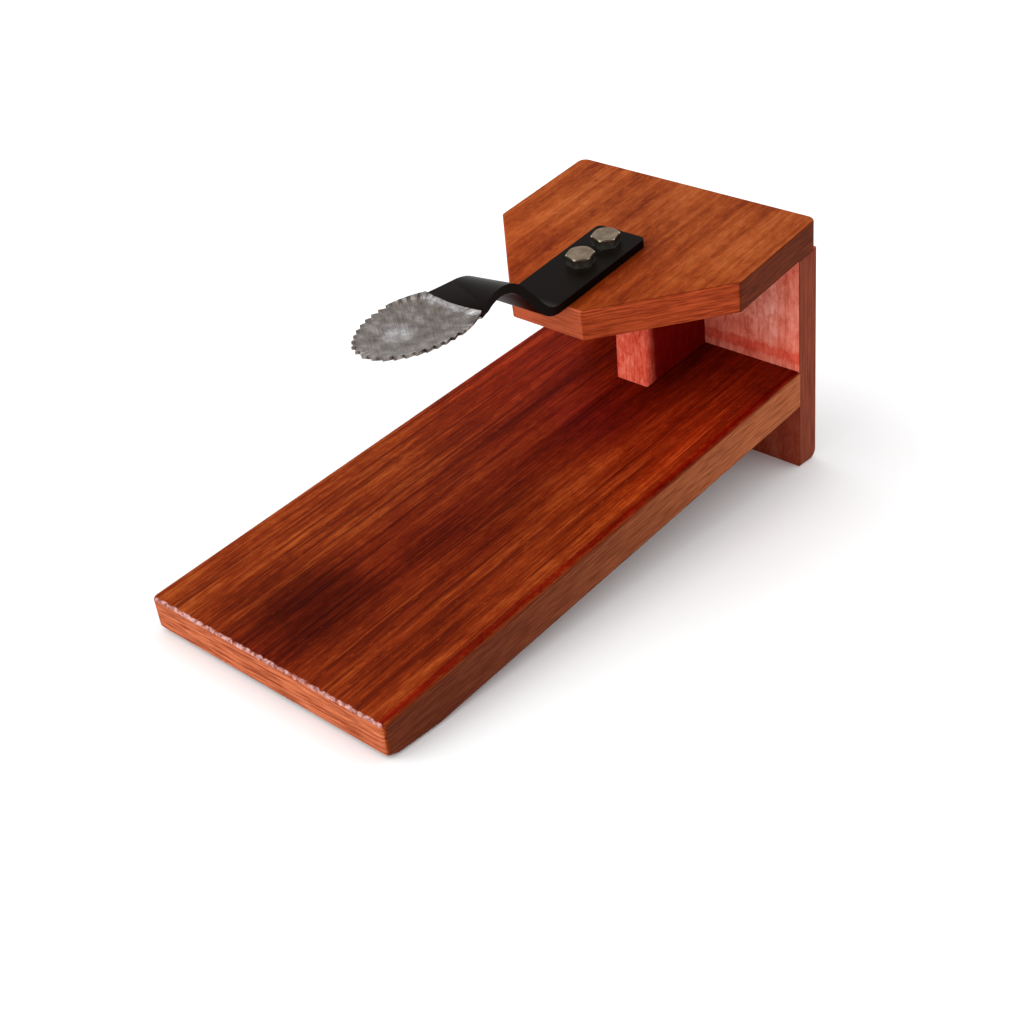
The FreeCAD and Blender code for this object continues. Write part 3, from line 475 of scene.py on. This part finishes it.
@dataclass(frozen=True)
class BladeFinish:
    """Bare ground steel on the leaf and satin black paint on the bar behind it.

    Places are measured from the line where the paint ends, level with the leaf. The rim's
    reach is counted from the leaf's centre in halves of its size.
    """

    name: str
    paint_edge: Triple
    pitch: float
    leaf_centre: Triple = (0.0, -0.027, 0.0)
    leaf_half: Triple = (0.0235, 0.0312, 0.03)
    grinding_turn: float = 0.7
    steel: Colour = (0.168, 0.146, 0.131)
    bright_steel: Colour = (0.33, 0.305, 0.285)
    dull_steel: Colour = (0.073, 0.058, 0.048)
    paint: Colour = (0.0034, 0.0016, 0.0010)
    tone_stops: Triple = (0.33, 0.5, 0.68)
    mottle: float = 0.7
    grinding: float = 0.3
    scratches: float = 0.35
    scratch_range: Range = (0.60, 0.72)
    stroke_dark: Colour = (0.25, 0.23, 0.22)
    stroke_bright: Colour = (1.8, 1.8, 1.8)
    rim_range: Range = (0.93, 1.10)
    rim_wander: float = 0.2
    paint_wander: float = 0.0006
    paint_fade: float = 0.0001
    steel_roughness: float = 0.40
    paint_roughness: float = 0.32
    specular: float = 0.022
    relief_depth: float = 0.0002
    relief_strength: float = 0.4
    paint_pattern: Pattern = Pattern((0.0012, 0.0012, 0.0012))
    mottle_pattern: Pattern = Pattern((0.006, 0.006, 0.006), 3.0, 5.0, 0.6)
    grinding_pattern: Pattern = Pattern((0.010, 0.0006, 0.008), 5.0, 3.0, 0.6)
    scratch_pattern: Pattern = Pattern((0.012, 0.00035, 0.01), 9.0, 1.0)
    stroke_pattern: Pattern = Pattern((0.07, 0.6, 1.0), 3.0, 2.0)
    details: tuple[Tint | Patch, ...] = (
        # Painted highlight: a bright band just ahead of the paint edge, where the bend catches the light.
        Tint(direction=FRONT, start=-0.001, full=0.0005, width=0.0030, ragged=0.005,
             factor=(1.45, 1.55, 1.7)),
        # Painted highlight: a bright bluish spot in the dish.
        Patch((-0.004, -0.033, 0.0), (0.010, 0.013, 0.009), (1.8, 1.95, 2.15), 0.1),
        # Painted shade: a darker spot in the dish near the root.
        Patch((0.004, -0.016, 0.0), (0.012, 0.010, 0.009), (0.70, 0.68, 0.66), 0.1),
    )

    def rim_strokes_and_glints(self, tree: ShaderTree, place: bpy.types.NodeSocket,
                    colour: bpy.types.NodeSocket) -> bpy.types.NodeSocket:
        """Colour of the leaf with the strokes that filing the teeth left across its rim, and painted
        glints and shade on the teeth.

        Args:
            tree: Node tree of the material.
            place: Coordinates from the leaf's root, level with the leaf.
            colour: Colour of the leaf without them.

        Returns:
            The socket that holds the colour with the strokes.
        """
        outward = tree.from_centre(place, self.leaf_centre, self.leaf_half)
        reach = tree.length(outward)
        angle = tree.math("ARCTAN2", tree.along(outward, RIGHT), tree.along(outward, FRONT))
        polar = tree.node("CombineXYZ", X=angle, Y=reach).outputs[0]
        strokes = tree.noise(polar, self.stroke_pattern)
        own = tree.ramp(tree.spread(strokes, *HARD_CONTRAST),
                        [(0.0, self.stroke_dark), (1.0, self.stroke_bright)])
        wandering = tree.math("ADD", reach, tree.math("MULTIPLY", strokes, self.rim_wander))
        return tree.mix(tree.spread(wandering, *self.rim_range), colour, own, "MULTIPLY")

    def build(self) -> bpy.types.Material:
        """Build the material.

        Returns:
            The finished steel and paint.
        """
        tree = ShaderTree(self.name)
        place = tree.place(self.paint_edge, (self.pitch, 0.0, 0.0))
        uneven = tree.math("SUBTRACT", tree.noise(place, self.paint_pattern), 0.5)
        wander = tree.math("MULTIPLY", uneven, self.paint_wander)
        behind = tree.math("ADD", tree.along(place, REAR), wander)
        painted = tree.spread(behind, -self.paint_fade, self.paint_fade)
        mottle = tree.noise(place, self.mottle_pattern)
        slanted = tree.node("Mapping", {"vector_type": "POINT"}, Vector=place,
                            Rotation=(0.0, 0.0, self.grinding_turn)).outputs[0]
        grinding = tree.noise(slanted, self.grinding_pattern)
        scratches = tree.spread(tree.noise(slanted, self.scratch_pattern), *self.scratch_range)
        tone = tree.math("ADD", tree.math("MULTIPLY", mottle, self.mottle),
                         tree.math("MULTIPLY", grinding, self.grinding))
        colours = (self.dull_steel, self.steel, self.bright_steel)
        steel = tree.ramp(tone, list(zip(self.tone_stops, colours)))
        steel = tree.mix(tree.math("MULTIPLY", scratches, self.scratches), steel, self.bright_steel)
        for detail in self.details:
            steel = detail.apply(tree, place, steel)
        steel = self.rim_strokes_and_glints(tree, place, steel)
        colour = tree.mix(painted, steel, self.paint)
        bare = tree.math("SUBTRACT", 1.0, painted)
        relief = tree.math("MULTIPLY", tree.math("ADD", mottle, grinding), bare)
        normal = tree.bump(relief, self.relief_depth, self.relief_strength)
        gain = self.paint_roughness - self.steel_roughness
        roughness = tree.math("ADD", tree.math("MULTIPLY", painted, gain), self.steel_roughness)
        return tree.finish(Base_Color=colour, Metallic=bare, Roughness=roughness, Normal=normal,
                           Specular_IOR_Level=self.specular)


@dataclass(frozen=True)
class PlatedSteel:
    """Dull zinc plating with fine mottling."""

    name: str
    origin: Triple
    dark: Colour
    pale: Colour
    roughness: float
    details: tuple[Tint, ...] = ()
    relief_depth: float = 0.0001
    relief_strength: float = 0.2
    mottle_pattern: Pattern = Pattern((0.004, 0.004, 0.004), 2.0, 5.0, 0.55)

    def build(self) -> bpy.types.Material:
        """Build the material.

        Returns:
            The finished plating.
        """
        tree = ShaderTree(self.name)
        place = tree.place(self.origin, (UPRIGHT_LEAN, 0.0, 0.0))
        mottle = tree.noise(place, self.mottle_pattern)
        colour = tree.ramp(tree.spread(mottle, *HARD_CONTRAST), [(0.0, self.dark), (1.0, self.pale)])
        for detail in self.details:
            colour = detail.apply(tree, place, colour)
        normal = tree.bump(mottle, self.relief_depth, self.relief_strength)
        return tree.finish(Base_Color=colour, Metallic=1.0, Roughness=self.roughness, Normal=normal)


# ---------------------------------------------------------------- pieces


def dress(node: str, material: bpy.types.Material) -> None:
    """Give a node of the model its material.

    Args:
        node: Name of the node.
        material: Its finished material.
    """
    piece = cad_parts[node]
    piece.data.materials.clear()
    piece.data.materials.append(material)
    LOG.info("%s: %s", node, material.name)


@dataclass
class Woodwork:
    """Base board, upright, top plate and brace, and the dowels between them.

    Distances in the details are measured from the joint line, where the board's top meets the
    upright, along the board and square to it, or up the upright and square to it.
    """

    half_width: float = 0.075
    board_length: float = 0.3255
    plate_nose: float = 0.1117
    plate_chamfer: Triple = (0.7396, -0.6731, 0.0)
    plate_chamfer_out: float = 0.0918
    upright_rear: float = 0.017
    edge_round: float = 0.001
    dowels: tuple[str, ...] = ("outer_left_dowel", "inner_left_dowel", "inner_right_dowel",
                               "outer_right_dowel", "brace_dowel")

    def face(self, direction: Triple, distance: float, colours: tuple[Colour, Colour],
             cell: Triple = (0.016, 0.016, 0.0010)) -> ShadedFace:
        """Zone of a face that lies a distance out along a direction, coloured with that face's painted
        light and shade.

        Args:
            direction: Direction that the face looks in.
            distance: Distance of the face from the joint line.
            colours: Dark and pale colour of its streaks, with the face's painted light and shade in them.
            cell: Size of the streaks along each axis.

        Returns:
            The face's own finish.
        """
        return ShadedFace(direction=direction, start=distance - self.edge_round,
                    full=distance - self.edge_round / 4, dark=colours[0], pale=colours[1], cell=cell)

    def board(self) -> VarnishedWood:
        """Finish of the base board.

        Returns:
            Its wood, not built yet.
        """
        shaded_side_colours = (0.072, 0.013, 0.0050), (0.142, 0.0315, 0.0125)
        lit_end_colours = (0.20, 0.030, 0.0090), (0.58, 0.165, 0.069)
        front_edge = (0.0, -math.sqrt(0.5), math.sqrt(0.5))
        return VarnishedWood(
            "board_wood", Grain.ALONG_BOARD, JOINT,
            (0.050, 0.0029, 0.0005), (0.124, 0.0102, 0.0015), (0.232, 0.0330, 0.0057), 1.7,
            details=(
                Tint(direction=LEFT, start=0.0, full=0.065, factor=(1.62, 2.5, 2.6)),
                Tint(direction=RIGHT, start=0.0, full=0.055, factor=(1.55, 2.2, 2.2)),
                # Painted shade and red light reflected from the brace, on the board under the plate.
                Tint(direction=REAR, start=-0.19, full=-0.06, factor=(1.1, 0.55, 0.6)),
                Patch((-0.005, -0.285, 0.0), (0.044, 0.045, 0.02), (0.50, 0.40, 0.32)),
                Patch((0.020, -0.200, 0.0), (0.030, 0.060, 0.02), (0.75, 0.60, 0.50)),
                Patch((0.062, -0.130, 0.0), (0.010, 0.090, 0.02), (1.28, 1.30, 1.1)),
                Tint(direction=RIGHT, start=0.0695, full=0.0715, width=0.0010, ragged=0.003,
                     factor=(0.8, 0.25, 0.2)),
                Patch((0.010, -0.095, 0.0), (0.030, 0.035, 0.02), (0.95, 0.80, 1.9)),
                # Painted light and shade: dark colours on the shaded sides, bright ones on the lit front
                # end.
                self.face(RIGHT, self.half_width, shaded_side_colours),
                self.face(LEFT, self.half_width, shaded_side_colours),
                # This one leans a little, so that it fades in along the side towards the rear.
                Tint(direction=(1.0, 0.0026, 0.0), start=0.0742, full=0.0751, factor=(3.1, 4.1, 3.7)),
                self.face(FRONT, self.board_length, lit_end_colours),
                # Partly wear, partly painted highlight: a pale pink strip on the rounding of the front top
                # edge.
                ShadedFace(direction=front_edge, start=0.2290, full=0.2293, ragged=0.0008,
                     dark=(0.16, 0.035, 0.022), pale=(0.60, 0.34, 0.32), cell=(0.0025, 0.0025, 0.0025)),
            ), streaks=0.40, mottle=0.18, stain=0.7, veins=0.75)

    def plate(self) -> VarnishedWood:
        """Finish of the top plate.

        Returns:
            Its wood, not built yet.
        """
        across, forward, _ = self.plate_chamfer
        left_chamfer = (-across, forward, 0.0)
        half_lit_colours = (0.16, 0.017, 0.0045), (0.41, 0.066, 0.0195)
        shaded_side_colours = (0.065, 0.0105, 0.0033), (0.130, 0.0245, 0.0082)
        lit_nose_colours = (0.34, 0.060, 0.022), (0.54, 0.117, 0.052)
        edge_line = self.plate_chamfer_out - self.edge_round
        return VarnishedWood(
            "plate_wood", Grain.ALONG_PLATE, JOINT,
            (0.130, 0.0165, 0.0026), (0.240, 0.0440, 0.0074), (0.350, 0.0840, 0.0210), 31.0,
            details=(
                Tint(direction=FRONT, start=0.02, full=0.10, factor=(0.98, 0.80, 0.62)),
                Tint(direction=LEFT, start=0.01, full=0.06, factor=(1.14, 1.16, 1.15)),
                # Painted shade: a thin dark line along the top edge of the right chamfer.
                Tint(direction=self.plate_chamfer, start=edge_line - 0.0003, full=edge_line, width=0.0003,
                     ragged=0.0001, factor=(0.4, 0.25, 0.25)),
                # Painted light and shade: a bright lit nose, half-lit chamfers and rear, dark shaded
                # sides.
                self.face(FRONT, self.plate_nose, lit_nose_colours),
                self.face(REAR, self.upright_rear, half_lit_colours),
                self.face(self.plate_chamfer, self.plate_chamfer_out, half_lit_colours),
                self.face(left_chamfer, self.plate_chamfer_out, half_lit_colours),
                self.face(RIGHT, self.half_width, shaded_side_colours),
                self.face(LEFT, self.half_width, shaded_side_colours),
            ), streaks=0.50, fibres=0.20, mottle=0.30, stain=1.1)

    def upright(self) -> VarnishedWood:
        """Finish of the upright.

        Returns:
            Its wood, not built yet.
        """
        shaded_side_colours = (0.11, 0.018, 0.0078), (0.255, 0.053, 0.0250)
        shaded_rear_colours = (0.095, 0.014, 0.0055), (0.200, 0.036, 0.0160)
        streaked_up = (0.0010, 0.0010, 0.030)
        return VarnishedWood(
            "upright_wood", Grain.UP_UPRIGHT, JOINT,
            # Bright colours for the lit front face; the sides and rear get painted shade in their own
            # colours below.
            (0.62, 0.095, 0.052), (0.87, 0.210, 0.140), (0.94, 0.37, 0.28), 53.0,
            details=(
                # Painted sheen: a pale pink spot towards the right of the front face.
                Patch((0.050, 0.0, 0.040), (0.026, 0.02, 0.034), (1.03, 1.55, 1.75)),
                Tint(direction=UP, start=0.003, full=0.006, width=0.004, ragged=0.004,
                     factor=(0.9, 0.5, 0.45)),
                # Painted shade: the upright darkens below the board's top, where the board shades it.
                Tint(direction=DOWN, start=0.012, full=0.024, factor=(0.31, 0.22, 0.17)),
                self.face(REAR, self.upright_rear, shaded_rear_colours, streaked_up),
                self.face(RIGHT, self.half_width, shaded_side_colours, streaked_up),
                self.face(LEFT, self.half_width, shaded_side_colours, streaked_up),
            ), streaks=0.25, fibres=0.15, mottle=0.45, stain=0.9)

    def brace(self) -> VarnishedWood:
        """Finish of the brace.

        Returns:
            Its wood, not built yet.
        """
        return VarnishedWood(
            "brace_wood", Grain.UP_UPRIGHT, JOINT,
            (0.54, 0.038, 0.018), (0.78, 0.100, 0.056), (0.93, 0.230, 0.150), 71.0,
            # Its bright colours stand for the lit front face; the tint paints shade on the sides behind
            # it.
            details=(Tint(direction=REAR, start=-0.0545, full=-0.0450, factor=(0.16, 0.02, 0.02)),),
            streaks=0.20, fibres=0.25, mottle=0.55)

    def build(self) -> None:
        """Dress the wooden pieces."""
        finishes = {
            "base_board": self.board(),
            "top_plate": self.plate(),
            "rear_upright": self.upright(),
            "centre_brace": self.brace(),
        }
        for node, finish in finishes.items():
            dress(node, finish.build())
        plain = VarnishedWood("dowel_wood", Grain.UP_UPRIGHT, JOINT,
                              (0.30, 0.19, 0.10), (0.42, 0.28, 0.16), (0.52, 0.37, 0.23), 97.0)
        material = plain.build()
        for node in self.dowels:
            dress(node, material)


@dataclass
class Metalwork:
    """Scraper blade, the bolts that hold it, and the wood screws."""

    paint_edge: Triple = (-0.0012, -0.2123, 0.1443)
    head_top: float = 0.0946
    head_height: float = 0.0053
    rim_depth: float = 0.0007
    rim_fade: float = 0.0004
    rim_width: float = 0.0003
    zinc: tuple[Colour, Colour] = ((0.125, 0.088, 0.054), (0.225, 0.165, 0.108))
    zinc_roughness: float = 0.30
    yellow_zinc: tuple[Colour, Colour] = ((0.30, 0.25, 0.15), (0.46, 0.41, 0.29))
    yellow_zinc_roughness: float = 0.36
    bolt_parts: tuple[str, ...] = ("rear_bolt", "front_bolt", "rear_nut", "front_nut",
                                   "rear_washer", "front_washer")

    def build(self) -> None:
        """Dress the metal pieces."""
        dress("scraper_blade", BladeFinish("blade_steel", self.paint_edge, LEAF_PITCH).build())
        rim = self.head_top - self.rim_depth
        plated = PlatedSteel("bolt_plating", JOINT, *self.zinc, self.zinc_roughness, details=(
            # Painted highlight: a bright band along the chamfer at the top of each head.
            Tint(direction=UP, start=rim - self.rim_fade, full=rim, width=self.rim_width,
                 factor=(3.2, 3.8, 4.6)),
            # Painted reflection: below the heads' tops the plating turns brighter and greyer than the
            # bronze tops.
            Tint(direction=DOWN, start=-rim, full=-rim + self.head_height, factor=(2.6, 3.6, 5.0)),
        )).build()
        for node in self.bolt_parts:
            dress(node, plated)
        yellow = PlatedSteel("screw_plating", JOINT, *self.yellow_zinc, self.yellow_zinc_roughness).build()
        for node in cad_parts:
            if node.endswith("_screw"):
                dress(node, yellow)


# ---------------------------------------------------------------- studio


@dataclass
class Studio:
    """Pale floor, soft light and camera."""

    floor_side: float = 12.0
    floor_colour: Colour = (0.90, 0.90, 0.90)
    floor_shade: Colour = (0.85, 0.85, 0.86)
    floor_mottle: float = 0.05
    floor_roughness: float = 0.9
    floor_pattern: Pattern = Pattern((0.2, 0.2, 0.2), detail=2.0)
    surround: float = 1.09
    sun_place: Triple = (-0.42, -0.80, 0.52)
    sun_spread: float = math.radians(60.0)
    sun_power: float = 1.8
    camera_place: Triple = (0.43221, -0.69083, 0.41926)
    camera_azimuth: float = math.radians(39.765)
    camera_elevation: float = math.radians(30.843)
    camera_roll: float = math.radians(0.198)
    focal_pixels: float = 1534.6
    sensor_width: float = 36.0

    def build(self) -> None:
        """Build the floor, the light and the camera."""
        self.add_floor()
        self.add_world()
        self.add_sun()
        self.add_camera()
        bpy.context.scene.view_settings.view_transform = "Standard"

    def add_floor(self) -> None:
        """Add a pale floor that shows white and keeps the shadow."""
        mesh = bmesh.new()
        bmesh.ops.create_grid(mesh, x_segments=1, y_segments=1, size=self.floor_side / 2)
        data = bpy.data.meshes.new("floor")
        mesh.to_mesh(data)
        mesh.free()
        floor = bpy.data.objects.new("floor", data)
        bpy.context.scene.collection.objects.link(floor)
        tree = ShaderTree("pale_floor")
        place = tree.place((0.0, 0.0, 0.0), (0.0, 0.0, 0.0))
        mottle = tree.math("MULTIPLY", tree.noise(place, self.floor_pattern), self.floor_mottle)
        colour = tree.mix(mottle, self.floor_colour, self.floor_shade)
        data.materials.append(tree.finish(Base_Color=colour, Roughness=self.floor_roughness,
                                          Specular_IOR_Level=0.0))

    def add_world(self) -> None:
        """Light everything evenly from a world that shows white behind the object."""
        world = bpy.data.worlds.new("white_surround")
        world.use_nodes = True
        tree = world.node_tree
        tree.nodes.clear()
        rays = tree.nodes.new("ShaderNodeLightPath")
        lit = tree.nodes.new("ShaderNodeBackground")
        shown = tree.nodes.new("ShaderNodeBackground")
        for background, strength in ((lit, self.surround), (shown, 1.0)):
            background.inputs["Color"].default_value = (1.0, 1.0, 1.0, 1.0)
            background.inputs["Strength"].default_value = strength
        both = tree.nodes.new("ShaderNodeMixShader")
        tree.links.new(rays.outputs["Is Camera Ray"], both.inputs[0])
        tree.links.new(lit.outputs[0], both.inputs[1])
        tree.links.new(shown.outputs[0], both.inputs[2])
        output = tree.nodes.new("ShaderNodeOutputWorld")
        tree.links.new(both.outputs[0], output.inputs[0])
        bpy.context.scene.world = world

    def add_sun(self) -> None:
        """Add one broad, soft light from the front left."""
        lamp = bpy.data.lights.new("key", "SUN")
        lamp.angle = self.sun_spread
        lamp.energy = self.sun_power
        holder = bpy.data.objects.new("key", lamp)
        holder.location = self.sun_place
        holder.rotation_euler = (-Vector(self.sun_place)).to_track_quat("-Z", "Y").to_euler()
        bpy.context.scene.collection.objects.link(holder)

    def add_camera(self) -> None:
        """Add the camera and make it the scene's own."""
        azimuth, elevation, roll = self.camera_azimuth, self.camera_elevation, self.camera_roll
        outward = math.cos(elevation)
        back = Vector((math.sin(azimuth) * outward, -math.cos(azimuth) * outward, math.sin(elevation)))
        level = Vector(UP).cross(back).normalized()
        upright = back.cross(level)
        right = level * math.cos(roll) + upright * math.sin(roll)
        up = upright * math.cos(roll) - level * math.sin(roll)
        data = bpy.data.cameras.new("camera")
        data.sensor_width = self.sensor_width
        data.lens = self.focal_pixels / IMAGE_SIDE * self.sensor_width
        camera = bpy.data.objects.new("camera", data)
        turn = Matrix((right, up, back)).transposed().to_4x4()
        camera.matrix_world = Matrix.Translation(self.camera_place) @ turn
        bpy.context.scene.collection.objects.link(camera)
        bpy.context.scene.camera = camera


def main() -> None:
    """Build the whole scene."""
    logging.basicConfig(level=logging.INFO, format="%(name)s: %(message)s")
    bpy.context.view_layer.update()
    Woodwork().build()
    Metalwork().build()
    Studio().build()


if __name__ == "__main__":
    main()
